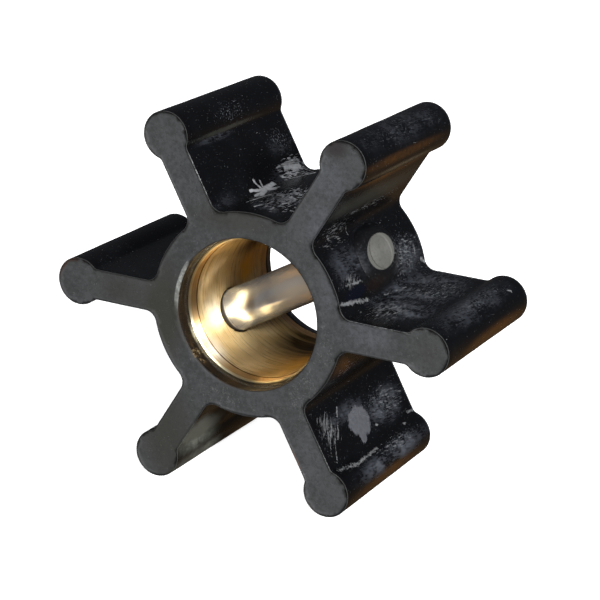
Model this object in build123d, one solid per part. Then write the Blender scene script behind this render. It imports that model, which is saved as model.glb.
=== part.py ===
from build123d import *
import math
import os

# Flexible pump impeller: a rubber moulding with six bulb-tipped vanes, bonded
# round a brass bush, with a steel drive pin pressed across the bush.
# A slotted shaft end slides into the bush and straddles the pin.
#
# Millimetres.  The shaft axis is Y and the front face looks along -Y.  The
# origin lies on the shaft axis, half way between the two end faces.  The hub
# carries one vane along +X, so two bulbs share the lowest level on Z.

# Overall
tip_diameter = 48.0  # over the vane tips
width = 22.0  # between the two end faces
vane_count = 6

# Vanes
vane_thickness = 3.6  # the flat web between hub and bulb
bulb_diameter = 5.5  # the round bead that wipes the pump chamber
root_fillet = 1.4  # where a web runs into the hub
neck_fillet = 0.7  # where a web runs into its bulb

# Hub and its brass bush
hub_diameter = 23.2
bush_bore = 16.0  # shaft diameter plus its running clearance
bush_wall = 1.5
bush_set_back = 1.9  # each bush end lies this far inside the rubber's end face
bore_chamfer = 0.25  # on both ends of the bush's bore
lip_flare = 0.3  # how much wider the rubber's mouth is than the bush's bright rim

# Drive pin
pin_diameter = 5.0
pin_stand_out = 0.4  # each end stands this far out of the hub
pin_end_chamfer = 0.6

# Fits: the rubber is bonded to the metal and the pin is pressed into the bush
bond_gap = 0.0
press_gap = 0.0

# Sizes that follow from the ones above
tip_radius = tip_diameter / 2
hub_radius = hub_diameter / 2
bulb_radius = bulb_diameter / 2
bulb_centre = tip_radius - bulb_radius
vane_pitch = 360.0 / vane_count
bore_radius = bush_bore / 2
rim_radius = bore_radius + bore_chamfer
bush_radius = bore_radius + bush_wall
bush_length = width - 2 * bush_set_back
pin_angle = vane_pitch / 2  # the pin comes out midway between two vanes
pin_length = hub_diameter + 2 * pin_stand_out


def around_the_shaft(half_section):
    """Turn a half section, drawn as (radius, distance along the shaft), about the shaft axis."""
    return revolve(Plane.XY * half_section, axis=Axis.Y)


def across_the_shaft(radius, length):
    """A round bar that lies centred across the shaft, along the drive pin's line."""
    bar = Rot(0, 90, 0) * Cylinder(radius, length)
    return Rot(0, -pin_angle, 0) * bar


def corner_radius(corner):
    """Distance of an outline's corner from the shaft axis."""
    return math.hypot(corner.X, corner.Y)


def vane_outline():
    """One straight web with its round bead, along +X, starting inside the hub."""
    web = Pos(bulb_centre / 2, 0) * Rectangle(bulb_centre, vane_thickness)
    bulb = Pos(bulb_centre, 0) * Circle(bulb_radius)
    return web + bulb


def rotor_outline():
    """The hub disc with its vanes, and a blend in every re-entrant corner."""
    outline = Circle(hub_radius)
    for index in range(vane_count):
        outline += Rot(0, 0, index * vane_pitch) * vane_outline()
    half_web = vane_thickness / 2
    neck = bulb_centre - math.sqrt(bulb_radius**2 - half_web**2)
    neck_radius = math.hypot(neck, half_web)
    roots = [v for v in outline.vertices() if corner_radius(v) < (hub_radius + neck_radius) / 2]
    outline = fillet(roots, root_fillet)
    necks = [v for v in outline.vertices() if math.isclose(corner_radius(v), neck_radius, abs_tol=0.001)]
    return fillet(necks, neck_fillet)


def bush_seat():
    """The hollow in the rubber: a pocket for the bush with a flared lip over each of its ends."""
    pocket_radius = bush_radius + bond_gap
    pocket_end = bush_length / 2 + bond_gap
    mouth_radius = rim_radius + lip_flare
    with BuildSketch() as section:
        with BuildLine():
            Polyline(
                (0, -width / 2),
                (mouth_radius, -width / 2),
                (rim_radius, -pocket_end),
                (pocket_radius, -pocket_end),
                (pocket_radius, pocket_end),
                (rim_radius, pocket_end),
                (mouth_radius, width / 2),
                (0, width / 2),
                close=True,
            )
        make_face()
    return around_the_shaft(section.sketch)


def rubber_rotor():
    """The whole moulding: outline drawn out along the shaft, less the bush and the pin."""
    body = extrude(Plane.XZ * rotor_outline(), amount=width / 2, both=True)
    return body - bush_seat() - across_the_shaft(pin_diameter / 2 + bond_gap, pin_length)


def brass_bush():
    """A turned sleeve, chamfered inside at both ends and drilled across for the pin."""
    half_length = bush_length / 2
    with BuildSketch() as section:
        with BuildLine():
            Polyline(
                (rim_radius, -half_length),
                (bush_radius, -half_length),
                (bush_radius, half_length),
                (rim_radius, half_length),
                (bore_radius, half_length - bore_chamfer),
                (bore_radius, bore_chamfer - half_length),
                close=True,
            )
        make_face()
    sleeve = around_the_shaft(section.sketch)
    return sleeve - across_the_shaft(pin_diameter / 2 + press_gap, pin_length)


def drive_pin():
    """A round pin with chamfered ends, right through the hub."""
    pin = across_the_shaft(pin_diameter / 2, pin_length)
    return chamfer(pin.edges().filter_by(GeomType.CIRCLE), pin_end_chamfer)


os.makedirs("parts", exist_ok=True)
export_step(rubber_rotor(), "parts/rubber_rotor.step")
export_step(brass_bush(), "parts/brass_bush.step")
export_step(drive_pin(), "parts/drive_pin.step")
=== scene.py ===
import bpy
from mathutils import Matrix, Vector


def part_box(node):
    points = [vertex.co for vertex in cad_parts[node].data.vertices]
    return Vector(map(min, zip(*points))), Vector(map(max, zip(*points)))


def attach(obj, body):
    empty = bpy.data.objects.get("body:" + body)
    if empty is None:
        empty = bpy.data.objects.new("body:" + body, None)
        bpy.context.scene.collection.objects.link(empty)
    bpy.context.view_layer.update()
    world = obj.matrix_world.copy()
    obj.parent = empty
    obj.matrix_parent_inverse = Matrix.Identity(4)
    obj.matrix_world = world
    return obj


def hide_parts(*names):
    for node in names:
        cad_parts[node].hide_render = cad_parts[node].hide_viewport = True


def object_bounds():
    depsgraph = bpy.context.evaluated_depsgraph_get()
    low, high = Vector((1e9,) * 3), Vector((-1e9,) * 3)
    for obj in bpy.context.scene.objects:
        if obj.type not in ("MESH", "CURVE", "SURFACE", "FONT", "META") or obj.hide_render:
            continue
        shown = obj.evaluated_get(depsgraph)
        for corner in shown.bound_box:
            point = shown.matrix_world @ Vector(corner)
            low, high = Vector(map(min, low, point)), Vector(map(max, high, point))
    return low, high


bl_info = {
    "name": "Flexible pump impeller",
    "version": (1, 0, 0),
    "blender": (4, 5, 0),
    "location": "3D View > Sidebar > Impeller",
    "description": "A six-vane rubber pump impeller with its brass bush and drive pin",
    "category": "Add Mesh",
}

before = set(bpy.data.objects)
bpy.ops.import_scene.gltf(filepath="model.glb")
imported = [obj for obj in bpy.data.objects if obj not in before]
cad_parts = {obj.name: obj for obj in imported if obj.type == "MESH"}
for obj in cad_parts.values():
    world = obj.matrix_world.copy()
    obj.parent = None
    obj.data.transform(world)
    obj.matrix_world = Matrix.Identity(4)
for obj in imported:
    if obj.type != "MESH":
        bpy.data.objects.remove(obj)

import functools
import math

import bmesh
import bpy
from bpy.props import FloatProperty, FloatVectorProperty, IntProperty, PointerProperty
from mathutils import Matrix, Vector, geometry, noise

MM = 0.001
CAD_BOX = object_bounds()
ROTOR_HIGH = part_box("rubber_rotor")[1]
BUSH_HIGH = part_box("brass_bush")[1]

# The floor's half side in metres, and the camera's film in mm
FLOOR_REACH = 4.0
FILM_WIDTH = 36.0

# Vertices round the pin and its holes, round the bush and round its seat in the rubber
PIN_SEGMENTS = 96
BUSH_SEGMENTS = 288
SEAT_SEGMENTS = 240
# Points along the width of the vanes, the spacing of points on the end faces and, in that
# spacing, the step between their rows
WALL_ROWS = 44
FACE_SPACING = 0.55 * MM
ROW_STEP = 0.866
# How much the moulding's outside stands back and varies, and how deep the end faces wave
WEAR = 0.02 * MM
FACE_WAVES = 0.05 * MM
# Width of a stroke's soft edge, from its half width
STROKE_FADE = 1.6

# Rings of the rubber lip over the pin's end, in mm: ((reach along the shaft, reach round it,
# height), what the height is measured from). Then the shift of the lip's opening from the pin's
# line, along the shaft and round it, and the half sizes in mm of the pale oval that shows there.
LIP_ROWS = (
    ((5.0, 4.1, -0.30), "hub"),
    ((4.5, 3.6, 0.02), "hub"),
    ((3.9, 3.15, 0.22), "hub"),
    ((3.3, 2.6, 0.05), "pin"),
    ((2.55, 2.1, 0.04), "pin"),
    ((2.31, 1.88, 0.02), "pin"),
    ((2.29, 1.86, -0.9), "pin"),
)
LIP_SHIFT = (0.05 * MM, -0.11 * MM)
PALE_OVAL = (3.2, 1.94)


def length(name, description, default):
    """A size in metres that the sidebar shows as a length."""
    return FloatProperty(
        name=name, description=description, default=default, min=0.0, subtype="DISTANCE", unit="LENGTH"
    )


def slide(name, description, default):
    """A length that may be negative."""
    return FloatProperty(name=name, description=description, default=default, unit="LENGTH")


def turn(name, description, default):
    """An angle, given here in degrees."""
    return FloatProperty(name=name, description=description, default=math.radians(default), subtype="ANGLE")


def colour(name, description, default):
    """A linear colour."""
    return FloatVectorProperty(
        name=name, description=description, default=default, size=3, min=0.0, max=1.0, subtype="COLOR"
    )


class RotorSettings(bpy.types.PropertyGroup):
    """Sizes and colours of the rubber moulding."""

    tip_radius: length("Tip radius", "From the shaft axis to the vane tips", ROTOR_HIGH.x)
    half_width: length("Half width", "From mid-width to an end face", ROTOR_HIGH.y)
    hub_radius: length("Hub radius", "Outside of the hub between two vanes", 11.6 * MM)
    vane_thickness: length("Vane thickness", "Flat web between hub and bulb", 3.6 * MM)
    bulb_radius: length("Bulb radius", "Round bead on a vane's tip", 2.75 * MM)
    root_fillet: length("Root fillet", "Where a web runs into the hub", 1.4 * MM)
    neck_fillet: length("Neck fillet", "Where a web runs into its bulb", 0.7 * MM)
    mouth_radius: length("Mouth radius", "The hole in the end face", 8.55 * MM)
    rim_radius: length("Rim radius", "The hole where the rubber meets the bush", 8.25 * MM)
    edge_radius: length("Edge radius", "Worn round of the end faces' edges", 0.08 * MM)
    grain: length("Grain", "Spacing of the points along the outline", 0.3 * MM)
    flash_angle: turn("Flash angle", "Where the mouth's edge was trimmed, round from +X", 163.0)
    flash_reach: turn("Flash reach", "How far the trimmed edge runs to each side", 24.0)
    flash_width: length("Flash width", "How wide the trimmed edge is", 0.38 * MM)
    lip_lean: turn("Pin lip lean", "Lean of the oval opening over the pin's end", 7.0)
    vanes: IntProperty(name="Vanes", description="Number of vanes", default=6, min=3)
    face_colour: colour("End faces", "Dull ground rubber of both end faces", (0.0378, 0.0400, 0.0418))
    side_colour: colour("Sides", "Glossy moulded rubber between the faces", (0.0011, 0.0012, 0.0016))


class BushSettings(bpy.types.PropertyGroup):
    """Sizes and colours of the brass bush."""

    outer_radius: length("Outer radius", "Bonded surface of the bush", BUSH_HIGH.x)
    half_length: length("Half length", "From mid-width to an end of the bush", BUSH_HIGH.y)
    bore_radius: length("Bore radius", "Fits the pump shaft", 8.0 * MM)
    chamfer: length("Chamfer", "Bright bevel at both ends of the bore", 0.25 * MM)
    lead_in: length("Lead in", "Length of the shallow counterbore at each end", 1.3 * MM)
    brass: colour("Brass", "Turned brass", (0.88, 0.66, 0.33))
    tarnish: colour("Tarnish", "Darker brass inside", (0.60, 0.35, 0.075))


class PinSettings(bpy.types.PropertyGroup):
    """Sizes and colours of the drive pin."""

    radius: length("Radius", "Half the pin's diameter", 2.5 * MM)
    half_length: length("Half length", "From the shaft axis to an end", 11.92 * MM)
    end_round: length("End round", "Corner radius at each end", 0.1 * MM)
    angle: turn("Angle", "Up from the vane that lies along +X", 30.0)
    offset: length("Offset", "How far the pin's line passes beside the shaft axis", 0.35 * MM)
    lean: turn("Lean", "How far the pin is driven askew towards the back face", 3.5)
    steel: colour("Steel", "Ground steel", (0.47, 0.50, 0.545))


class StageSettings(bpy.types.PropertyGroup):
    """Camera and floor. The lights are set by the stage operator."""

    azimuth: turn("Azimuth", "Camera's turn to the right of the front", 26.28)
    elevation: turn("Elevation", "Camera's height above the horizon", 18.09)
    roll: turn("Roll", "Camera's turn about its own line of sight", 2.70)
    distance: length("Distance", "Camera to the object", 252.3 * MM)
    across: slide("Across", "Camera's slide to its right", 0.85 * MM)
    upwards: slide("Upwards", "Camera's slide upwards", -1.14 * MM)
    lens: FloatProperty(name="Lens", description="Focal length on a 36 mm film", default=134.8, unit="CAMERA")
    floor: colour("Floor", "Pale floor", (0.95, 0.95, 0.95))


# Meshes ----------------------------------------------------------------------


def arc(centre, radius, start, end, step):
    """Points on an arc in the XZ plane, from one angle to another, with both ends."""
    count = max(3, round(abs(end - start) * radius / step))
    angles = [start + (end - start) * i / count for i in range(count + 1)]
    return [(centre[0] + radius * math.cos(a), centre[1] + radius * math.sin(a)) for a in angles]


def straight(start, end, step):
    """Points between two ends of a straight run, without the ends themselves."""
    count = max(2, round(math.dist(start, end) / step))
    return [
        (start[0] + (end[0] - start[0]) * i / count, start[1] + (end[1] - start[1]) * i / count)
        for i in range(1, count)
    ]


def vane_outline(rotor):
    """One pitch of the rotor's outline, from mid pocket to mid pocket round a vane on +X."""
    half_web = rotor.vane_thickness / 2
    bulb_centre = rotor.tip_radius - rotor.bulb_radius
    pitch = 2 * math.pi / rotor.vanes
    root_z = half_web + rotor.root_fillet
    root_x = math.sqrt((rotor.hub_radius + rotor.root_fillet) ** 2 - root_z**2)
    neck_z = half_web + rotor.neck_fillet
    neck_x = bulb_centre - math.sqrt((rotor.bulb_radius + rotor.neck_fillet) ** 2 - neck_z**2)
    root_angle = math.atan2(root_z, root_x)
    neck_angle = math.atan2(neck_z, bulb_centre - neck_x)
    step = rotor.grain
    upper = arc((bulb_centre, 0), rotor.bulb_radius, 0, math.pi - neck_angle, step)
    upper += arc((neck_x, neck_z), rotor.neck_fillet, -neck_angle, -math.pi / 2, step / 2)[1:]
    upper += straight((neck_x, half_web), (root_x, half_web), step)
    upper += arc((root_x, root_z), rotor.root_fillet, -math.pi / 2, root_angle - math.pi, step / 2)
    upper += arc((0, 0), rotor.hub_radius, root_angle, pitch / 2, step)[1:]
    lower = [(x, -z) for x, z in reversed(upper[1:])]
    return (lower + upper)[1:]


def rotor_outline(rotor):
    """The closed outline: a list of (place, outward normal) in the XZ plane."""
    places = []
    for index in range(rotor.vanes):
        spin = Matrix.Rotation(2 * math.pi * index / rotor.vanes, 2)
        places += [spin @ Vector(p) for p in vane_outline(rotor)]
    outline = []
    for index, place in enumerate(places):
        along = (places[(index + 1) % len(places)] - places[index - 1]).normalized()
        outline.append((place, Vector((along.y, -along.x))))
    return outline


def edge_profile(half_width, edge_radius, rows):
    """(y, inset) for each ring of the side wall, with a rounded edge at both ends."""
    steps = 4
    angles = [math.pi / 2 * i / steps for i in range(steps + 1)]
    front = [(-half_width + edge_radius * (1 - math.sin(a)), edge_radius * (1 - math.cos(a))) for a in angles]
    inner = half_width - edge_radius
    middle = [(-inner + 2 * inner * i / rows, 0) for i in range(1, rows)]
    return front + middle + [(-y, inset) for y, inset in reversed(front)]


def fill_face(mesh, outer, inner, spacing):
    """Fill the flat ring between two loops of vertices with even triangles and points between."""
    level = outer[0].co.y
    flat = [Vector((v.co.x, v.co.z)) for v in outer + inner]
    count = len(outer)
    edges = [(i, (i + 1) % count) for i in range(count)]
    edges += [(count + i, count + (i + 1) % len(inner)) for i in range(len(inner))]
    reach = max(p.length for p in flat)
    keep_off = 0.6 * spacing
    tree = {}
    for p in flat:
        tree.setdefault((round(p.x / spacing), round(p.y / spacing)), []).append(p)
    extra = []
    steps = int(reach / spacing) + 2
    for row in range(-steps, steps + 1):
        for column in range(-steps, steps + 1):
            p = Vector(((column + 0.5 * (row % 2)) * spacing, row * spacing * ROW_STEP))
            cell = (round(p.x / spacing), round(p.y / spacing))
            cells = [(cell[0] + i, cell[1] + j) for i in (-1, 0, 1) for j in (-1, 0, 1)]
            near = [q for neighbour in cells for q in tree.get(neighbour, [])]
            if all((p - q).length > keep_off for q in near):
                extra.append(p)
    made = geometry.delaunay_2d_cdt(flat + extra, edges, [], 0, 1e-9)
    points, triangles, origins = made[0], made[2], made[3]
    vertices = {}
    ring = outer + inner
    outer_loop, mouth_loop = flat[:count], flat[count:]
    for triangle in triangles:
        middle = sum((points[i] for i in triangle), Vector((0, 0))) / 3
        if inside(middle, mouth_loop) or not inside(middle, outer_loop):
            continue
        corners = []
        for i in triangle:
            if i not in vertices:
                source = [k for k in origins[i] if k < len(ring)]
                p = points[i]
                vertices[i] = ring[source[0]] if source else mesh.verts.new((p.x, level, p.y))
            corners.append(vertices[i])
        if len(set(corners)) == 3:
            face = mesh.faces.new(corners)
            face.smooth = True
    return [v for i, v in vertices.items() if v not in ring]


def inside(point, loop):
    """True if a point lies inside a closed loop of points."""
    crossings = 0
    for index, b in enumerate(loop):
        a = loop[index - 1]
        if (a.y > point.y) != (b.y > point.y):
            if point.x < a.x + (point.y - a.y) * (b.x - a.x) / (b.y - a.y):
                crossings += 1
    return crossings % 2 == 1


def bridge(mesh, rings):
    """Join rings of equally many vertices, one after the other."""
    for first, second in zip(rings, rings[1:]):
        for index in range(len(first)):
            face = mesh.faces.new((first[index - 1], first[index], second[index], second[index - 1]))
            face.smooth = True


def wander(x, y, z, size, depth):
    """A smooth random offset that changes over size and reaches depth."""
    return depth * noise.noise(Vector((x, y, z)) / size)


def mesh_object(name, mesh):
    """Put a finished bmesh in the scene under a name."""
    bmesh.ops.recalc_face_normals(mesh, faces=mesh.faces)
    data = bpy.data.meshes.new(name)
    mesh.to_mesh(data)
    mesh.free()
    made = bpy.data.objects.new(name, data)
    bpy.context.scene.collection.objects.link(made)
    return made


def pin_frame(pin):
    """Places a shape drawn along Z on the pin's line, which is driven a little askew."""
    askew = Matrix(((1, 0, 0, -pin.offset), (0, 1, math.tan(pin.lean), 0), (0, 0, 1, 0), (0, 0, 0, 1)))
    return Matrix.Rotation(math.pi / 2 - pin.angle, 4, "Y") @ askew


def turned(mesh, profile, segments, place=Matrix.Identity(4), closed=True):
    """Turn a profile of (radius, height) about Z into rings, and join them."""
    rings = []
    for radius, height in profile:
        ring = []
        for index in range(segments):
            a = 2 * math.pi * index / segments
            ring.append(mesh.verts.new(place @ Vector((radius * math.cos(a), radius * math.sin(a), height))))
        rings.append(ring)
    bridge(mesh, rings + rings[:1] if closed else rings)
    return rings


def cut_for_pin(piece, radius, pin):
    """Drill the pin's hole across a piece."""
    drill = bmesh.new()
    bmesh.ops.create_cone(
        drill, cap_ends=True, segments=PIN_SEGMENTS, radius1=radius, radius2=radius,
        depth=2.4 * pin.half_length, matrix=pin_frame(pin),
    )
    cutter = mesh_object("drill", drill)
    modifier = piece.modifiers.new("Pin hole", "BOOLEAN")
    modifier.operation, modifier.solver, modifier.object = "DIFFERENCE", "EXACT", cutter
    cut = bpy.data.meshes.new_from_object(piece.evaluated_get(bpy.context.evaluated_depsgraph_get()))
    piece.modifiers.clear()
    piece.data = cut
    bpy.data.objects.remove(cutter)


def pin_lip(mesh, rotor, pin, side):
    """The skin of rubber moulded over the rim of the pin's end, on the +X side (1) or the other (-1)."""
    place = Matrix.Rotation(-pin.angle + (0 if side > 0 else math.pi), 4, "Y")
    centre = side * Vector((pin.half_length * math.tan(pin.lean), pin.offset)) + Vector(LIP_SHIFT)
    lean = Matrix.Rotation(rotor.lip_lean, 2)
    rings = []
    for (wide, tall, height), level in LIP_ROWS:
        ring = []
        for index in range(PIN_SEGMENTS):
            a = 2 * math.pi * index / PIN_SEGMENTS
            along, around = centre + lean @ Vector((wide * math.cos(a), tall * math.sin(a))) * MM
            base = math.sqrt(rotor.hub_radius**2 - around**2) if level == "hub" else pin.half_length
            ring.append(mesh.verts.new(place @ Vector((base + height * MM, along, around))))
        rings.append(ring)
    before = set(mesh.faces)
    bridge(mesh, rings + rings[:1])
    bmesh.ops.recalc_face_normals(mesh, faces=[f for f in mesh.faces if f not in before])


# Marks -----------------------------------------------------------------------

# Placed one by one, in mm. A patch is (centre, reach in x, y and z, strength), and a stroke is
# (start, end, half width, strength).

# End faces: rubbed bare, dusted olive, dotted and scratched
BARE = (
    ((9.2, -11, 16.2), (3.2, 3, 4), 0.7), ((8.6, -11, 11.5), (3.4, 3, 4.2), 0.8),
    ((10, -11, 4.5), (2.4, 3, 6), 0.5), ((14, -11, 0.6), (5, 3, 2.6), 0.8),
    ((8.6, -11, -14), (2.6, 3, 5), 0.3), ((-7.5, -11, 15.5), (3, 3, 5.5), 0.3),
)
OLIVE = (
    ((-10.5, -11, -2), (4.2, 3, 9), 1.2), ((-9.5, -11, -15.5), (5.2, 3, 8), 0.9),
    ((-15, -11, 0), (6.5, 3, 3), 0.6), ((-2, -11, 10.5), (7, 3, 2.6), 0.6),
    ((21.5, -11, 0), (3.2, 3, 3.2), 0.35),
)
DUSTY = (
    ((7.6, -11, -7.4), (3.4, 3, 5.4), 1), ((9.6, -11, -2), (1.8, 3, 4), 0.8),
    ((-2.5, -11, -10), (5, 3, 2.4), 0.9), ((7.6, -11, -17.5), (2.4, 3, 3), 0.6),
)

# Sides: a bluish veil, granular dust, olive dirt, and a painted brown reflection of the bench on the
# undersides
VEIL = (
    ((-4.4, 6.5, 11.6), (1.8, 6, 1.8), 0.7), ((-6.6, 8, 13.2), (2.2, 5, 3), 0.25),
    ((-8.3, -4.5, 17.3), (1, 6, 0.7), 0.6), ((-4.4, -9, 11.6), (1.6, 4, 1.2), 0.2),
    ((11.8, 1.5, 20.6), (3.6, 15, 2.2), 0.28), ((11.9, -7.5, 20.6), (2.2, 4.5, 1.4), 0.25),
    ((16.8, -3.5, 1.8), (3.4, 4.5, 0.8), 1.6), ((14.6, 2, 1.8), (4.8, 14, 1.2), 1.3),
    ((22, -1, 2.2), (2.6, 12, 1.6), 0.6), ((13.2, 1, -17.2), (1.5, 12, 2), 0.9),
    ((9.9, 5, -13.2), (1.8, 6.5, 3.6), 0.9), ((9.2, -2.5, -11.6), (1.4, 7, 1.6), 0.6),
    ((10, -6, 7), (2.2, 6, 4.2), 0.6), ((10.6, 7, 4), (2, 5, 3.4), 0.5),
    ((0.8, -5, 11.5), (4, 6, 1), 0.5),
)
DUSTED = (
    ((-8.2, -1, 19.6), (2.2, 6, 2), 0.75), ((-6.6, 8, 14), (2.2, 5, 3.6), 0.9),
    ((11.8, 0, 20.8), (3.6, 12, 2.2), 0.6), ((10.6, 5, 5), (2.2, 7.5, 6.5), 1),
    ((15, 4, 1.8), (6, 9, 1), 0.9), ((21.6, 0, 2.4), (2.2, 12, 1.2), 1.1),
    ((12.6, 4, -16.6), (1.6, 8, 1.4), 1), ((9.6, 5, -13), (2, 7.5, 4), 0.9),
    ((9.2, -8, -12), (1.8, 4, 3), 0.8), ((-19.5, -3, 2.4), (4, 8, 1.6), 0.25),
    ((0, 0, 0), (30, 15, 30), 0.25),
)
OLIVE_DUST = (
    ((-7, -6.5, -15.6), (2.4, 9.5, 4.6), 2.2), ((-8.3, -4.5, -20), (2.4, 11, 1.8), 1.6),
    ((9.5, 0, 12.8), (1.9, 18, 2.6), 0.38), ((-8.3, -3, 17.9), (1.1, 12, 0.45), 0.35),
)
# Painted reflection of the brown bench, mostly on the undersides.
PAINTED_BROWN_REFLECTION = (
    ((13.4, -2, 18.2), (0.9, 14, 0.8), 0.6), ((11.4, 0, 15.4), (1.4, 13, 1.5), 1.25),
    ((13.7, 0, -19.2), (1.3, 13, 1.4), 0.8), ((23.7, 2, -0.8), (1.2, 12, 1.4), 0.8),
    ((10.8, -6, -4.4), (1.6, 6.5, 3), 1), ((11.2, -2, 3.4), (1, 4.5, 1.2), 0.06),
)

# Sides: scattered chalk in two directions, single strokes, and pale marks in the shaded pocket, painted paler
# as painted light against the shade
STROKED = (
    ((-4.4, 7.8, 11.9), (2.6, 5, 2.2), 1.5), ((1, -3, 11.6), (4.6, 9, 1.3), 1.05),
    ((8.2, -6, 9.6), (1.6, 6, 2.6), 1), ((8.9, 1, 11.2), (1.2, 13, 1), 1),
    ((14.4, -5, 1.8), (3.6, 6, 0.9), 1.05), ((16, 4, 1.8), (5, 7, 0.9), 0.7),
    ((9.8, 6.5, -12.8), (2, 5.5, 3.6), 0.8), ((10.6, 6, 5), (1.8, 6.5, 5.5), 0.8),
    ((10.4, -6, -5), (1.6, 5, 2.6), 0.7), ((12.8, 3, -16.6), (1.4, 8, 1), 0.7),
)
SCRAPED = (
    ((9, -8, -12.4), (2, 3.6, 4.2), 1.2), ((10.6, -7.2, 5), (1.2, 3, 1.9), 1.1),
    ((11.4, 2.5, -2), (1.6, 6, 3.4), 0.4),
)
DRAWN = (
    ((11.1, -10.4, 3.2), (11.6, -4.8, 2.4), 0.4, 0.9), ((11.6, -4.8, 2.4), (12.5, 3.3, 1.8), 0.26, 0.8),
    ((13.6, -6.9, 1.8), (13.6, -3.6, 1.8), 0.16, 0.7), ((14.6, -7.9, 1.8), (14.5, -5, 1.8), 0.16, 0.7),
    ((15.7, -9.5, 1.8), (15.7, -5.5, 1.8), 0.18, 0.6), ((12.9, -6.9, 1.8), (12.8, -4, 1.8), 0.14, 0.6),
    ((10.6, -8.5, 4.7), (10.7, -4.6, 4.3), 0.2, 0.8), ((9.9, -6.1, 5.9), (10.6, -7.4, 4.8), 0.28, 0.5),
    ((10, -5.2, 5.8), (10.4, -6, 5.1), 0.25, 0.5), ((7.6, -8.6, 9.4), (7.7, -6.2, 9.5), 0.16, 0.6),
    ((7.7, -7.2, 9.1), (7.7, -3.8, 9.3), 0.16, 0.6), ((7.7, -6.1, 9.7), (7.7, -3, 9.8), 0.16, 0.6),
    ((7.7, -3.1, 9.4), (7.8, -3, 8.6), 0.2, 0.7), ((10.6, 8.9, 4.6), (10.9, 8.8, 4), 0.18, 0.8),
    ((11.2, 10, 3.2), (11.2, 10.7, 2.7), 0.35, 0.9), ((22.8, 7.4, 2.2), (23.1, 8, 2), 0.18, 0.9),
    ((8.3, -4.4, -10.9), (8.8, -5.2, -11.7), 0.16, 0.9), ((9, -5.3, -12), (9.9, -7, -13.6), 0.16, 0.8),
    ((9.3, -6.9, -12.6), (10.9, -9, -15.3), 0.22, 0.7), ((8.8, -7.4, -11.6), (10.4, -9.5, -14.5), 0.3, 0.6),
    ((8.8, -9.1, -11.6), (10.6, -10.2, -14.7), 0.2, 0.5),
    ((11.5, -9.8, -15.9), (12.1, -6.5, -16.2), 0.5, 0.7),
    ((12.1, -6.5, -16.2), (12, -1.1, -16.1), 0.34, 0.8), ((12, -1.1, -16.1), (12, 3, -16.1), 0.18, 0.5),
    ((10.9, 9.2, -15.3), (11, 10.8, -15.5), 0.3, 0.8), ((10.4, 1.8, -14.5), (10.5, 2.1, -14.7), 0.22, 1),
    ((11.6, 6.9, -15.8), (11.6, 7.3, -15.9), 0.25, 1),
)
PALE = (
    ((-3.8, -0.3, 11.1), (-5, -1, 12.1), 0.3, 1), ((-3.9, -0.2, 11.1), (-4.7, 0.2, 11.8), 0.26, 0.9),
    ((-3.9, -0.2, 11.1), (-4.1, 2.2, 11.2), 0.42, 1), ((-3.8, 0, 11.1), (-3.1, 1.3, 11.2), 0.38, 1),
    ((-3.9, -0.2, 11.1), (-2.9, 0.2, 11.2), 0.42, 1), ((-3.9, -0.2, 11.1), (-2.7, -3.1, 11.2), 0.4, 1),
    ((-3.8, -0.4, 11.1), (-3.4, -3.2, 11.2), 0.28, 0.9), ((-3.9, -0.4, 11.1), (-4.4, -2.7, 11.4), 0.3, 1),
    ((-2.8, -6.4, 11.2), (-1.7, -2.1, 11.5), 0.2, 0.7), ((-5, 4.5, 12.4), (-5.1, 9.2, 12.4), 0.3, 0.6),
    ((-4.9, 6.4, 12), (-4.6, 9.7, 11.6), 0.4, 0.8), ((-4.4, 4.8, 11.4), (-2.3, 8.8, 11.3), 0.35, 0.7),
    ((-3.9, 4.5, 11.2), (-2.9, 9.6, 11.2), 0.22, 0.6), ((-0.9, -3, 11.6), (-0.3, -2.5, 11.6), 0.18, 0.9),
    ((0.6, -2.9, 11.6), (1.4, -3, 11.5), 0.18, 0.9), ((0.3, -6.7, 11.6), (1.1, -6.3, 11.5), 0.16, 0.7),
    ((1, -5.5, 11.5), (1.4, -4.9, 11.5), 0.18, 0.8), ((-0.8, -8.4, 11.6), (-0.4, -7.5, 11.6), 0.16, 0.7),
    ((0.3, -1.1, 11.6), (0.6, -0.8, 11.6), 0.22, 0.9), ((0.8, 0.4, 11.5), (1.1, 0.7, 11.5), 0.22, 0.8),
    ((2.7, -6.7, 11.2), (3, -6.4, 11.2), 0.2, 0.6),
)
SHADED = (
    ((-4.4, 7.8, 11.8), (2.6, 4.6, 2), 1.6), ((0.8, -3.5, 11.6), (4.4, 8, 1.2), 1.2),
)

# Edges of the front face: painted glints and rust
PAINTED_EDGE_GLINTS = (
    ((-6.2, -11, 14.6), (2.8, 2, 5), 1), ((16, -11, 2), (6.5, 2, 1.4), 0.5),
    ((10.6, -11, -14.5), (2.4, 2, 4), 0.35),
)
RUST = (
    ((6.9, -11, -15), (1, 2, 4.5), 0.9), ((-22.5, -11, 1.5), (2, 2, 2.6), 0.7),
    ((-10, -11, -17), (1.4, 2, 3), 0.4),
)

# Bore of the bush: darker patches in the tarnish colour, painted shadow and painted highlights (hot spots)
DEEP = (
    ((4, 0, -7.2), (6.5, 10, 4), 1), ((3, 5, -7.2), (9, 8, 4), 0.8),
    ((-2.5, 3, 7.6), (6.5, 9, 3.5), 0.7), ((-6.5, 5.5, 3), (4, 5, 5), 0.5),
)
SHADOW = (
    ((0.8, 6, -8.2), (7, 8, 4.2), 1.3), ((6.5, 0, -5.5), (5, 12, 4.6), 1.2),
    ((-1, 6, 8.2), (5, 6, 2.4), 0.8),
)
# Painted highlights: hot spots on the left of the bore.
PAINTED_HOT_SPOTS = (
    ((-7.5, -4.4, -2.9), (2, 2.8, 3.2), 0.75), ((-5.4, -7.8, -5.9), (2.6, 2.4, 3), 1.1),
)


# Materials -------------------------------------------------------------------


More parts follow.
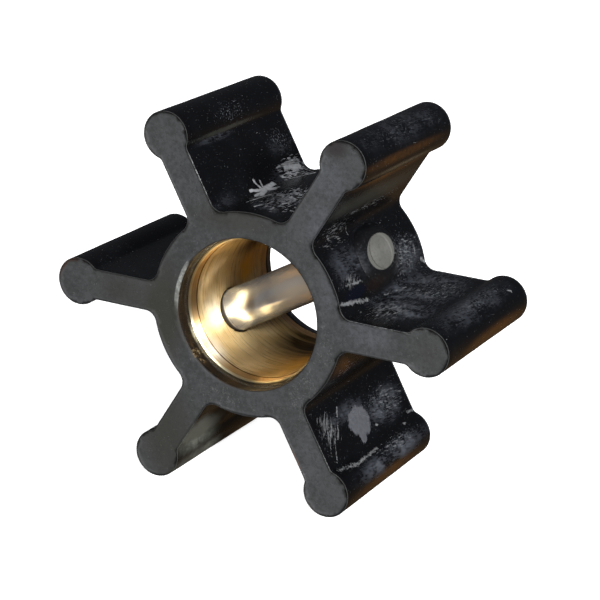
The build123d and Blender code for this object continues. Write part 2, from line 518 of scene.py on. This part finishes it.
class Nodes:
    """Builds a node tree from the inside out."""

    def __init__(self, tree):
        self.tree = tree

    def node(self, kind, inputs, output=0, **settings):
        """Add a node, plug or set its inputs, and give back one output."""
        made = self.tree.nodes.new("ShaderNode" + kind)
        for key, value in settings.items():
            setattr(made, key, value)
        for key, value in inputs.items():
            self.plug(made.inputs[key], value)
        return made.outputs[output]

    def plug(self, socket, value):
        """Link a socket to another, or set its plain value."""
        if isinstance(value, bpy.types.NodeSocket):
            self.tree.links.new(value, socket)
        elif isinstance(socket.default_value, float) or isinstance(value, str):
            socket.default_value = value
        else:
            values = tuple(value)
            socket.default_value = values + (1,) * (len(socket.default_value) - len(values))

    def vector(self, operation, a, b=(0, 0, 0), scale=1):
        inputs = {0: a, "Scale": scale} if operation == "SCALE" else {0: a, 1: b}
        return self.node("VectorMath", inputs, operation=operation)

    def part(self, vector, axis):
        """One of a vector's parts, by its name."""
        return self.node("SeparateXYZ", {0: vector}, axis)

    def sum(self, a, b):
        return self.node("Math", {0: a, 1: b}, operation="ADD")

    def times(self, a, b):
        return self.node("Math", {0: a, 1: b}, operation="MULTIPLY")

    def larger(self, a, b):
        return self.node("Math", {0: a, 1: b}, operation="MAXIMUM")

    def size_of(self, a):
        return self.node("Math", {0: a}, operation="ABSOLUTE")

    def dot(self, a, b):
        return self.node("VectorMath", {0: a, 1: b}, output=1, operation="DOT_PRODUCT")

    def length_of(self, a):
        return self.node("VectorMath", {0: a}, output=1, operation="LENGTH")

    def ease(self, value, low, high, to_low=0, to_high=1):
        """Rises smoothly from to_low to to_high while value goes from low to high."""
        inputs = {"Value": value, "From Min": low, "From Max": high, "To Min": to_low, "To Max": to_high}
        return self.node("MapRange", inputs, interpolation_type="SMOOTHSTEP")

    def broken(self, share, texture, low, high, at_low, at_high):
        """A share, times at_low where the texture is low and at_high where it is high."""
        return self.times(share, self.ease(texture, low, high, at_low, at_high))

    def mix(self, share, a, b):
        """Colour a, giving way to colour b as share goes to 1."""
        made = self.tree.nodes.new("ShaderNodeMix")
        made.data_type = "RGBA"
        self.plug(made.inputs["Factor"], share)
        self.plug(made.inputs[6], a)
        self.plug(made.inputs[7], b)
        return made.outputs[2]

    def coats(self, base, *coats):
        """Lay colours over a base, one after the other, each given as (share, colour)."""
        for share, tint in coats:
            base = self.mix(share, base, tint)
        return base


class Finish(Nodes):
    """A material under construction. Distances in its nodes are millimetres."""

    def __init__(self, name):
        self.material = bpy.data.materials.new(name)
        self.material.use_nodes = True
        super().__init__(self.material.node_tree)
        self.shader = self.tree.nodes["Principled BSDF"]
        self.normal = self.node("TexCoord", {}, "Normal")
        self.place = self.vector("SCALE", self.node("TexCoord", {}, "Object"), scale=1 / MM)
        self.y = self.part(self.place, "Y")

    def cloud(self, size, detail=4, roughness=0.6, warp=0, place=None, shift=0):
        """Noise whose lumps are about size across."""
        place = self.vector("ADD", place or self.place, (shift, shift, shift))
        inputs = {"Vector": place, "Scale": 1 / size, "Detail": detail, "Roughness": roughness}
        return self.node("TexNoise", {**inputs, "Distortion": warp})

    def along(self, direction, stretch):
        """The place, squeezed along a direction so that noise read there draws streaks."""
        direction = Vector(direction).normalized()
        reach = self.times(self.dot(self.place, direction), 1 / stretch - 1)
        return self.vector("ADD", self.place, self.vector("SCALE", direction, scale=reach))

    def patch(self, centre, reach, edge=0.5, place=None):
        """A soft-edged lump: 1 at its centre, 0 beyond its reach in x, y and z."""
        offset = self.vector("SUBTRACT", place or self.place, centre)
        return self.ease(self.length_of(self.vector("DIVIDE", offset, reach)), 1, 1 - edge)

    def strongest(self, shares):
        return functools.reduce(self.larger, shares)

    def places(self, patches):
        """The strongest of several patches, each given as (centre, reach, strength)."""
        return self.strongest([
            self.times(self.patch(centre, reach, 0.8), strength) for centre, reach, strength in patches
        ])

    def ragged(self, size, reach):
        """The place, pushed about by up to half of reach so that marks drawn there get uneven edges."""
        push = self.node("TexNoise", {"Vector": self.place, "Scale": 1 / size, "Detail": 3}, output=1)
        push = self.vector("SUBTRACT", push, (0.5, 0.5, 0.5))
        return self.vector("ADD", self.place, self.vector("SCALE", push, scale=reach))

    def lines(self, place, strokes):
        """The strongest of several strokes, each given as (start, end, half width, strength)."""
        shares = []
        for start, end, width, strength in strokes:
            run = Vector(end) - Vector(start)
            offset = self.vector("SUBTRACT", place, start)
            reach = self.node("Clamp", {0: self.dot(offset, run / run.length_squared)})
            near = self.vector("SCALE", run, scale=reach)
            far = self.node("VectorMath", {0: offset, 1: near}, output=1, operation="DISTANCE")
            shares.append(self.times(self.ease(far, STROKE_FADE * width, 0), strength))
        return self.strongest(shares)

    def bump(self, height, distance, strength):
        """Raise the surface by height times distance, in millimetres."""
        inputs = {"Height": height, "Distance": distance * MM, "Strength": strength}
        self.plug(self.shader.inputs["Normal"], self.node("Bump", inputs))

    def set(self, **values):
        """Plug the shader's inputs, named with underscores for spaces."""
        for key, value in values.items():
            self.plug(self.shader.inputs[key.replace("_", " ")], value)
        return self.material


class RubberFinish(Finish):
    """A finish with the textures and measures that the rubber's layers share."""

    def __init__(self, name):
        super().__init__(name)
        self.lumps = self.cloud(3.2, 6, 0.62)
        self.fine = self.cloud(0.5, 4, 0.7)
        self.grit = self.cloud(0.24, 3, 0.7, shift=17)
        self.specks = self.cloud(0.16, 1, shift=31)
        self.strokes = self.cloud(0.17, 2, 0.6, place=self.along((0.05, 1, -0.12), 6))
        self.slant = self.cloud(0.15, 2, 0.6, place=self.along((0.5, -0.9, -0.87), 9))
        self.mottled = self.sum(self.times(self.lumps, 0.45), self.times(self.fine, 0.55))
        self.uneven = self.ragged(0.7, 0.55)
        self.facing = self.size_of(self.part(self.normal, "Y"))
        self.depth = self.size_of(self.y)
        self.radius = self.length_of(self.vector("MULTIPLY", self.place, (1, 0, 1)))


def end_faces(look, rotor):
    """Ground rubber, bluish where it is rubbed bare and olive where dust lies."""
    dusty = look.places(DUSTY)
    smudge = look.patch((9.6, -11, 20.2), (1.9, 3, 1.6), 0.8)
    dots = look.ease(look.sum(look.specks, look.times(dusty, 0.09)), 0.79, 0.84)
    curls = look.cloud(0.32, 1, 0.5, warp=1.6, shift=5)
    scratched = look.ease(look.sum(curls, look.times(dusty, 0.12)), 0.7, 0.78)
    return look.coats(
        rotor.face_colour,
        (look.ease(look.mottled, 0.38, 0.62), (0.0215, 0.0228, 0.0234)),
        (look.broken(look.places(BARE), look.mottled, 0.3, 0.65, 1, 0.2), (0.062, 0.067, 0.079)),
        (look.broken(look.places(OLIVE), look.fine, 0.3, 0.7, 1, 0.7), (0.019, 0.02, 0.0155)),
        (look.ease(look.grit, 0.52, 0.72, 0, 0.45), (0.012, 0.0125, 0.0125)),
        (look.broken(smudge, look.fine, 0.3, 0.6, 1, 0.7), (0.011, 0.0075, 0.0085)),
        (look.times(dots, 0.4), (0.15, 0.15, 0.145)),
        (look.times(scratched, 0.6), (0.085, 0.087, 0.088)),
    )


def moulded_sides(look, rotor):
    """Black with a bluish veil and granular dust. Gives the colour, the veil and the gouges."""
    veil = look.places(VEIL)
    banks = look.sum(look.times(look.fine, 0.2), look.times(look.strokes, 0.3))
    banks = look.sum(look.times(look.lumps, 0.5), banks)
    cloudy = look.times(look.ease(banks, 0.43, 0.6, 0.02, 1), veil)
    grains = look.ease(look.sum(look.grit, look.times(look.places(DUSTED), 0.14)), 0.66, 0.76)
    gouged = look.ease(look.sum(look.strokes, look.times(veil, 0.07)), 0.3, 0.42, 1, 0)
    sides = look.coats(
        rotor.side_colour,
        (look.ease(look.lumps, 0.45, 0.75, 0, 0.4), (0.0035, 0.004, 0.005)),
        (cloudy, (0.045, 0.05, 0.061)),
        (look.times(grains, 0.8), (0.07, 0.076, 0.084)),
        (look.times(gouged, 0.75), rotor.side_colour),
    )
    return sides, cloudy, gouged


def dirt(look, sides):
    """Olive dirt on the undersides and flanks, a beige band, and a painted brown reflection of the bench,
    mostly on the undersides. Gives the colour and the olive dust.
    """
    dust = look.broken(look.places(OLIVE_DUST), look.mottled, 0.36, 0.64, 1, 0.35)
    beige = look.patch((12.6, -1, 16.9), (1, 12, 0.5), 0.8)
    sides = look.coats(
        sides,
        (dust, (0.074, 0.077, 0.064)),
        # Painted reflection: brown of the bench, mostly on the undersides.
        (look.broken(look.places(PAINTED_BROWN_REFLECTION), look.mottled, 0.34, 0.66, 1, 0.4), (0.066, 0.027, 0.006)),
        (look.broken(beige, look.fine, 0.3, 0.7, 0.8, 0.2), (0.12, 0.098, 0.066)),
    )
    return sides, dust


def chalk_strokes(look):
    """Chalky strokes: scattered ones, then the ones that stand out."""
    chalk = look.ease(look.sum(look.strokes, look.times(look.places(STROKED), 0.19)), 0.69, 0.81)
    slanting = look.ease(look.sum(look.slant, look.times(look.places(SCRAPED), 0.19)), 0.71, 0.82)
    chalk = look.broken(look.larger(chalk, slanting), look.fine, 0.3, 0.7, 0.35, 1)
    drawn = look.sum(look.times(look.lines(look.uneven, DRAWN), 0.55), look.times(look.grit, 0.8))
    return look.larger(chalk, look.ease(drawn, 0.66, 0.9))


def pale_marks(look, chalk):
    """The star, the fan and the dashes in the shaded pocket, and the chalk there, painted paler than the
    marks are as painted light against the pocket's shade.
    """
    pale = look.sum(look.times(look.lines(look.uneven, PALE), 0.7), look.times(look.grit, 0.5))
    shaded = look.times(chalk, look.ease(look.places(SHADED), 0.1, 0.6))
    return look.larger(look.ease(pale, 0.52, 0.72), shaded)


def blotch(look):
    """The ragged grey blotch on the lower right vane."""
    rags = look.cloud(0.9, 4, 0.75, place=look.along((0.5, -0.8, -0.87), 2.2), shift=11)
    blot = look.larger(
        look.patch((9.8, -1.2, -13.2), (3, 4.8, 3.8), 1, look.uneven),
        look.times(look.patch((10.6, -1.8, -14.8), (1.3, 1.6, 1.8), 1, look.uneven), 0.9),
    )
    return look.ease(look.sum(blot, look.times(rags, 0.7)), 0.8, 0.94)


def marks(look, sides):
    """Everything that lies on the sides' dirt. Gives the colour, and the marks that are raised."""
    chalk = chalk_strokes(look)
    pale = pale_marks(look, chalk)
    wet = look.patch((11.2, -6.8, 3.6), (0.9, 3, 0.9), 0.4)
    dots = look.ease(look.sum(look.specks, look.times(look.lumps, 0.08)), 0.8, 0.84)
    sides = look.coats(
        sides,
        (look.times(chalk, 0.95), (0.12, 0.125, 0.13)),
        # Real marks, painted paler as painted light against the shade of their pocket.
        (look.broken(pale, look.fine, 0.3, 0.7, 0.6, 1), (0.5, 0.515, 0.54)),
        (look.broken(blotch(look), look.fine, 0.3, 0.7, 0.7, 0.95), (0.082, 0.086, 0.097)),
        (wet, (0.0012, 0.0016, 0.0045)),
        (look.times(dots, 0.7), (0.14, 0.145, 0.15)),
    )
    return sides, look.larger(chalk, pale)


def pin_oval(look, rotor, pin):
    """The pale oval round both ends of the pin, which runs a little way over the rubber."""
    reach = look.dot(look.place, (math.cos(pin.angle), 0, math.sin(pin.angle)))
    side = look.node("Math", {0: reach}, operation="SIGN")
    shift = look.times(side, -pin.half_length * math.tan(pin.lean) / MM)
    along = look.sum(look.sum(look.y, shift), -LIP_SHIFT[0] / MM)
    around = look.dot(look.place, (-math.sin(pin.angle), 0, math.cos(pin.angle)))
    around = look.sum(look.times(look.sum(around, -pin.offset / MM), side), -LIP_SHIFT[1] / MM)
    place = look.node("CombineXYZ", {0: along, 1: around})
    axis = Vector((math.cos(rotor.lip_lean), math.sin(rotor.lip_lean), 0))
    long = look.dot(place, axis / PALE_OVAL[0])
    short = look.dot(place, Vector((-axis.y, axis.x, 0)) / PALE_OVAL[1])
    oval = look.length_of(look.node("CombineXYZ", {0: long, 1: short}))
    hub = rotor.hub_radius / MM
    return look.times(look.ease(oval, 1.03, 0.97), look.ease(look.size_of(reach), hub - 0.3, hub - 0.1))


def bore_lip(look, sides):
    """The lip round the bore: brown-black, with a painted reflection of the brass."""
    lip = look.times(look.ease(look.radius, 8.8, 8.6), look.ease(look.depth, 9, 9.1))
    stained = look.mix(look.ease(look.mottled, 0.4, 0.6), (0.005, 0.004, 0.003), (0.016, 0.01, 0.005))
    # Painted reflection of the brass on the lower left of the lip.
    painted_brass_reflection = look.times(look.patch((-6.2, -10.3, -6), (1.3, 1.2, 1.5), 0.8), look.ease(look.fine, 0.5, 0.66))
    painted_brass_reflection = look.times(look.times(painted_brass_reflection, lip), 0.7)
    return look.coats(sides, (look.times(lip, 0.9), stained), (painted_brass_reflection, (0.3, 0.22, 0.11)))


def edges(look, colours, rim):
    """The faces' edges, with painted glints or rust, and the trimmed mouth."""
    edge = look.times(rim, look.ease(look.facing, 0.98, 0.9))
    painted_glint = look.times(edge, look.times(look.places(PAINTED_EDGE_GLINTS), look.ease(look.fine, 0.42, 0.62)))
    trimmed = look.patch((-8.3, -10.95, 2.5), (1.4, 0.25, 4), 0.4)
    trimmed = look.times(trimmed, look.ease(look.radius, 8.98, 8.9))
    uneven = look.sum(look.fine, look.times(look.lumps, 0.5))
    return look.coats(
        colours,
        # Painted highlight along parts of the front edges.
        (look.times(painted_glint, 0.8), (0.26, 0.265, 0.27)),
        (look.times(look.places(RUST), look.times(edge, 0.8)), (0.045, 0.018, 0.01)),
        (look.broken(trimmed, uneven, 0.5, 0.9, 0.9, 0.25), (0.25, 0.26, 0.245)),
    )


def rubber_finish(rotor, pin):
    """Dull grey end faces, glossy black moulded sides, and the marks of handling on both, with painted
    glints, painted reflections and painted light among them.
    """
    look = RubberFinish("moulded_rubber")
    face = look.ease(look.facing, 0.75, 0.95)
    half_width = rotor.half_width / MM
    rim = look.ease(look.depth, half_width - 0.16, half_width - 0.06)
    sides, cloudy, gouged = moulded_sides(look, rotor)
    sides, dust = dirt(look, sides)
    sides, raised = marks(look, sides)
    oval = pin_oval(look, rotor, pin)
    sides = bore_lip(look, look.mix(oval, sides, (0.074, 0.074, 0.068)))
    grain = look.sum(look.times(look.fine, 0.6), look.times(look.grit, 0.4))
    scored = look.sum(grain, look.sum(look.times(raised, 0.7), look.times(gouged, -0.6)))
    look.bump(scored, 0.035, 0.6)
    collar = look.times(look.patch((10.4, 0, 6), (4.2, 6.5, 5.2), 0.5), 0.4)
    dulled = look.larger(look.larger(cloudy, dust), look.larger(collar, oval))
    rough = look.ease(look.larger(raised, dulled), 0, 1, 0.26, 0.75)
    return look.set(
        Base_Color=edges(look, look.mix(face, sides, end_faces(look, rotor)), rim),
        Roughness=look.node("Mix", {0: look.larger(face, rim), 2: rough, 3: 0.78}),
        IOR=1.5,
        Specular_IOR_Level=0.4,
    )


def brass_finish(bush):
    """Brass with the fine rings that turning leaves, with painted shadow, a painted glow and painted
    highlights.
    """
    look = Finish("turned_brass")
    round_bore = look.vector("MULTIPLY", look.place, (0.06, 1, 0.06))
    rings = look.cloud(0.3, 4, 0.75, place=round_bore)
    cuts = look.cloud(0.95, 2, 0.5, place=round_bore, shift=7)
    stains = look.cloud(2.6, 4, 0.6, warp=0.6)
    # Painted reflection: an orange glow high on the left of the bore.
    painted_glow = look.patch((-8, 3.8, 0.2), (2, 2.8, 2.6), 0.8)
    # Painted shadow: a dark band at the top of the bore.
    painted_shadow_band = look.patch((-7.3, 4, 3.3), (2.4, 5.5, 1.7), 1)
    depth = look.size_of(look.y)
    end = bush.half_length / MM
    shoulder = end - (bush.chamfer + bush.lead_in) / MM
    front = look.ease(depth, shoulder - 0.1, shoulder + 0.1)
    inner = look.ease(depth, shoulder - 0.07, shoulder + 0.01)
    score = look.times(inner, look.ease(depth, shoulder + 0.15, shoulder + 0.07))
    base = look.coats(
        bush.brass,
        (look.ease(stains, 0.4, 0.7, 0, 0.35), bush.tarnish),
        (look.broken(look.places(DEEP), cuts, 0.3, 0.65, 0.65, 1), bush.tarnish),
        (look.ease(rings, 0.48, 0.66, 0, 0.55), (0.22, 0.13, 0.045)),
        (look.broken(look.places(SHADOW), cuts, 0.3, 0.65, 0.6, 1), (0.058, 0.032, 0.005)),
        (look.broken(painted_glow, stains, 0.3, 0.6, 0.6, 1), (1, 0.6, 0.11)),
        (look.broken(painted_shadow_band, cuts, 0.3, 0.65, 0.5, 0.9), (0.09, 0.042, 0.007)),
        (look.broken(front, rings, 0.3, 0.7, 0.65, 0.25), (0.62, 0.36, 0.17)),
        # Painted highlights: pale hot spots on the left of the bore.
        (look.broken(look.places(PAINTED_HOT_SPOTS), rings, 0.3, 0.65, 1, 0.4), (0.97, 0.9, 0.74)),
        (score, (0.16, 0.08, 0.03)),
        (look.ease(depth, end - 0.28, end - 0.2), (0.95, 0.84, 0.56)),
    )
    look.bump(look.sum(look.times(rings, 0.7), look.times(cuts, 0.8)), 0.03, 1)
    return look.set(
        Base_Color=base,
        Metallic=1,
        Roughness=look.ease(rings, 0.3, 0.7, 0.36, 0.48),
        Anisotropic=0.9,
        Tangent=look.vector("ADD", (0, 1, 0)),
    )


def steel_finish(pin):
    """Ground steel with fine marks round the pin, painted highlights and shade on its side, and grime with
    painted contact shade where it enters the bush.
    """
    look = Finish("ground_steel")
    along = (math.cos(pin.angle), 0, math.sin(pin.angle))
    grind = look.cloud(0.12, 3, 0.7, place=look.along(along, 0.3))
    spots = look.cloud(0.5, 4, 0.7)
    dull = look.times(look.patch((-6.1, -1.2, -3.6), (2.2, 3.4, 3), 0.8), 0.7)
    reach = look.size_of(look.dot(look.place, along))
    # Grime with painted contact shade where the pin enters the bush wall.
    grime_and_contact_shade = look.times(look.ease(reach, 7.3, 7.7), look.ease(reach, 11, 10))
    end = pin.half_length / MM
    sawn = look.ease(reach, end - 0.05, end - 0.02)
    worn = look.ease(look.sum(spots, look.times(grind, 0.3)), 0.55, 0.85)
    polish = look.ease(grind, 0.3, 0.7, 0.13, 0.21)
    base = look.coats(
        pin.steel,
        (look.ease(look.cloud(1.5), 0.4, 0.8), (0.36, 0.375, 0.4)),
        (look.ease(spots, 0.6, 0.72, 0, 0.5), (0.14, 0.13, 0.12)),
        # Painted highlights and shade: the middle of the pin made paler, a darker gap, then a second pale
        # spot, so that its shine shows as two spots.
        (look.patch((1.6, -2, 1.2), (5, 3.6, 4.2), 0.9), (0.95, 0.9, 0.8)),
        (look.patch((-3.8, -2.6, -1.9), (0.9, 2.2, 2.4), 0.8), (0.2, 0.19, 0.175)),
        (look.patch((-1.9, -2.4, -2), (1, 1.3, 1.2), 0.8), (0.95, 0.92, 0.86)),
        (dull, (0.26, 0.265, 0.27)),
        (grime_and_contact_shade, (0.035, 0.03, 0.025)),
        (sawn, look.mix(worn, (0.088, 0.088, 0.082), (0.066, 0.065, 0.059))),
    )
    look.bump(grind, 0.004, 0.5)
    return look.set(
        Base_Color=base,
        Metallic=look.ease(sawn, 0, 1, 0.72, 0.1),
        Roughness=look.node("Mix", {0: look.larger(sawn, grime_and_contact_shade), 2: polish, 3: 0.65}),
        Anisotropic=0.5,
        Tangent=look.vector("ADD", along),
    )


# Operators -------------------------------------------------------------------


def finish_piece(piece, material, node):
    """Give a piece its material and its place on the body, and hide the CAD node it stands for."""
    piece.data.materials.clear()
    piece.data.materials.append(material)
    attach(piece, "root")
    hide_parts(node)


class IMPELLER_OT_rotor(bpy.types.Operator):
    """Model the rubber moulding: hub, six bulb-tipped vanes and the lips round the bush"""

    bl_idname = "impeller.rotor"
    bl_label = "Rubber rotor"

    def execute(self, context):
        rotor = context.scene.impeller_rotor
        bush = context.scene.impeller_bush
        pin = context.scene.impeller_pin
        mesh = bmesh.new()
        outline = rotor_outline(rotor)
        rings = []
        for y, inset in edge_profile(rotor.half_width, rotor.edge_radius, WALL_ROWS):
            ring = []
            for place, normal in outline:
                worn = WEAR + wander(place.x, y, place.y, 3.5 * MM, WEAR)
                if inset:
                    worn += inset * max(0, wander(place.x, y, place.y, 1.1 * MM, 0.35))
                p = place - normal * (inset + worn)
                ring.append(mesh.verts.new((p.x, y, p.y)))
            rings.append(ring)
        bridge(mesh, rings)
        bevel, flare = 0.12 * MM, 0.7 * MM
        lip = [
            (rotor.mouth_radius + bevel, rotor.half_width),
            (rotor.mouth_radius, rotor.half_width - 0.1 * MM),
            (rotor.rim_radius + bevel, bush.half_length + flare),
            (rotor.rim_radius, bush.half_length),
            (bush.outer_radius, bush.half_length),
        ]
        profile = [(radius, -y) for radius, y in lip] + lip[::-1]
        stand = Matrix.Rotation(-math.pi / 2, 4, "X")
        seat = turned(mesh, profile, SEAT_SEGMENTS, stand, closed=False)
        for v in seat[0]:
            a = math.atan2(v.co.z, v.co.x)
            trimmed = max(0, 1 - (abs(a - rotor.flash_angle) / rotor.flash_reach) ** 2)
            ragged = 1 + wander(v.co.x, 0, v.co.z, 0.7 * MM, 0.5)
            v.co *= 1 + trimmed * ragged * rotor.flash_width / rotor.mouth_radius
            v.co.y = -rotor.half_width
        for ring, outer in ((seat[0], rings[0]), (seat[-1], rings[-1])):
            level = outer[0].co.y
            for v in fill_face(mesh, outer, ring, FACE_SPACING):
                lower = abs(wander(v.co.x, level, v.co.z, 3 * MM, FACE_WAVES))
                v.co.y -= math.copysign(lower, level)
        piece = mesh_object("rotor_moulding", mesh)
        cut_for_pin(piece, pin.radius, pin)
        lips = bmesh.new()
        lips.from_mesh(piece.data)
        for side in (1, -1):
            pin_lip(lips, rotor, pin, side)
        lips.to_mesh(piece.data)
        lips.free()
        finish_piece(piece, rubber_finish(rotor, pin), "rubber_rotor")
        return {"FINISHED"}


class IMPELLER_OT_bush(bpy.types.Operator):
    """Turn the brass bush, bevel its bore and drill it for the pin"""

    bl_idname = "impeller.bush"
    bl_label = "Brass bush"

    def execute(self, context):
        bush = context.scene.impeller_bush
        pin = context.scene.impeller_pin
        mesh = bmesh.new()
        rows, counterbore, pin_gap = 60, 0.05 * MM, 0.16 * MM
        inner = bush.half_length - bush.chamfer
        step = inner - bush.lead_in
        bore = [(bush.bore_radius + 0.06 * MM, -inner), (bush.bore_radius + counterbore, -step - counterbore)]
        bore += [(bush.bore_radius, -step + 2 * step * i / rows) for i in range(rows // 2 + 1)]
        bore += [(radius, -height) for radius, height in reversed(bore[:-1])]
        end = [(radius, -bush.half_length) for radius in (bush.outer_radius, bush.bore_radius + bush.chamfer)]
        profile = end + bore + [(radius, -height) for radius, height in reversed(end)]
        turned(mesh, profile, BUSH_SEGMENTS, Matrix.Rotation(-math.pi / 2, 4, "X"))
        piece = mesh_object("bush_sleeve", mesh)
        cut_for_pin(piece, pin.radius + pin_gap, pin)
        finish_piece(piece, brass_finish(bush), "brass_bush")
        return {"FINISHED"}


class IMPELLER_OT_pin(bpy.types.Operator):
    """Grind the drive pin, with rounded ends"""

    bl_idname = "impeller.pin"
    bl_label = "Drive pin"

    def execute(self, context):
        pin = context.scene.impeller_pin
        mesh = bmesh.new()
        rows, steps = 40, 6
        flat, inner = pin.radius - pin.end_round, pin.half_length - pin.end_round
        angles = [math.pi / 2 * i / steps for i in range(steps + 1)]
        end = [(0.05 * MM, pin.half_length)]
        end += [(flat + pin.end_round * math.sin(a), inner + pin.end_round * math.cos(a)) for a in angles]
        shank = [(pin.radius, inner - 2 * inner * i / rows) for i in range(1, rows)]
        profile = end + shank + [(r, -h) for r, h in reversed(end)]
        rings = turned(mesh, profile, PIN_SEGMENTS, pin_frame(pin), closed=False)
        for ring in (rings[0], rings[-1]):
            mesh.faces.new(ring)
        piece = mesh_object("pin_ground", mesh)
        finish_piece(piece, steel_finish(pin), "drive_pin")
        return {"FINISHED"}


class IMPELLER_OT_stage(bpy.types.Operator):
    """Set up the floor, the light and the camera"""

    bl_idname = "impeller.stage"
    bl_label = "Stage"

    def execute(self, context):
        stage = context.scene.impeller_stage
        mesh = bmesh.new()
        level = Matrix.Translation((0, 0, CAD_BOX[0].z))
        bmesh.ops.create_grid(mesh, x_segments=1, y_segments=1, size=FLOOR_REACH, matrix=level)
        floor = mesh_object("floor", mesh)
        pale = Finish("pale_floor")
        pale.set(Base_Color=stage.floor, Roughness=0.9, Emission_Color=(1, 1, 1), Emission_Strength=0.92)
        floor.data.materials.append(pale.material)
        floor.visible_glossy = floor.visible_diffuse = False
        self.light_world(context)
        data = bpy.data.cameras.new("camera")
        data.lens, data.sensor_width = stage.lens, FILM_WIDTH
        data.clip_start, data.clip_end = 0.01, 20
        camera = bpy.data.objects.new("camera", data)
        tilt = math.pi / 2 - stage.elevation
        turned_to = Matrix.Rotation(stage.azimuth, 4, "Z") @ Matrix.Rotation(tilt, 4, "X")
        slid = Matrix.Translation((stage.across, stage.upwards, stage.distance))
        camera.matrix_world = turned_to @ Matrix.Rotation(stage.roll, 4, "Z") @ slid
        context.scene.collection.objects.link(camera)
        context.scene.camera = camera
        context.scene.view_settings.view_transform = "Standard"
        lamps = (
            ("key", (0.55, -0.37, 0.24), 0.12, 9),
            ("front", (0.15, -0.66, 0.28), 0.20, 3.2),
            ("high", (0.35, -0.35, 0.49), 0.07, 1.3),
            ("top", (-0.25, 0.20, 0.60), 0.40, 0.3),
        )
        for name, place, size, power in lamps:
            self.add_lamp(context, name, Vector(place), size, power)
        return {"FINISHED"}

    def light_world(self, context):
        """White behind the object; round it a dim room over a warm brown bench."""
        world = bpy.data.worlds.new("studio")
        world.use_nodes = True
        nodes = Nodes(world.node_tree)
        height = nodes.part(nodes.node("TexCoord", {}, "Generated"), "Z")
        above_bench = nodes.node("MapRange", {"Value": height, "From Min": -0.4, "From Max": 0})
        room = nodes.mix(above_bench, (0.105, 0.068, 0.036), (0.045, 0.047, 0.055))
        seen = nodes.mix(nodes.node("LightPath", {}, "Is Camera Ray"), room, (1.05, 1.05, 1.05))
        nodes.plug(nodes.tree.nodes["Background"].inputs["Color"], seen)
        context.scene.world = world

    def add_lamp(self, context, name, place, size, power):
        """A square soft light that looks at the object."""
        data = bpy.data.lights.new(name, "AREA")
        data.size, data.energy = size, power
        lamp = bpy.data.objects.new(name, data)
        lamp.location = place
        lamp.rotation_euler = place.to_track_quat("Z", "Y").to_euler()
        context.scene.collection.objects.link(lamp)


class IMPELLER_PT_sidebar(bpy.types.Panel):
    """Sizes, colours and the buttons that build the impeller"""

    bl_idname = "IMPELLER_PT_sidebar"
    bl_label = "Pump impeller"
    bl_space_type = "VIEW_3D"
    bl_region_type = "UI"
    bl_category = "Impeller"

    def draw(self, context):
        for operator, settings in zip(OPERATORS, SETTINGS):
            box = self.layout.box()
            box.operator(operator.bl_idname)
            group = getattr(context.scene, settings[0])
            for name in settings[1].__annotations__:
                box.prop(group, name)


SETTINGS = (
    ("impeller_rotor", RotorSettings),
    ("impeller_bush", BushSettings),
    ("impeller_pin", PinSettings),
    ("impeller_stage", StageSettings),
)
OPERATORS = (IMPELLER_OT_rotor, IMPELLER_OT_bush, IMPELLER_OT_pin, IMPELLER_OT_stage)


def register():
    for name, group in SETTINGS:
        bpy.utils.register_class(group)
        setattr(bpy.types.Scene, name, PointerProperty(type=group))
    for operator in OPERATORS:
        bpy.utils.register_class(operator)
    bpy.utils.register_class(IMPELLER_PT_sidebar)


def unregister():
    bpy.utils.unregister_class(IMPELLER_PT_sidebar)
    for operator in reversed(OPERATORS):
        bpy.utils.unregister_class(operator)
    for name, group in reversed(SETTINGS):
        delattr(bpy.types.Scene, name)
        bpy.utils.unregister_class(group)


def main():
    register()
    bpy.ops.impeller.rotor()
    bpy.ops.impeller.bush()
    bpy.ops.impeller.pin()
    bpy.ops.impeller.stage()


if __name__ == "__main__":
    main()
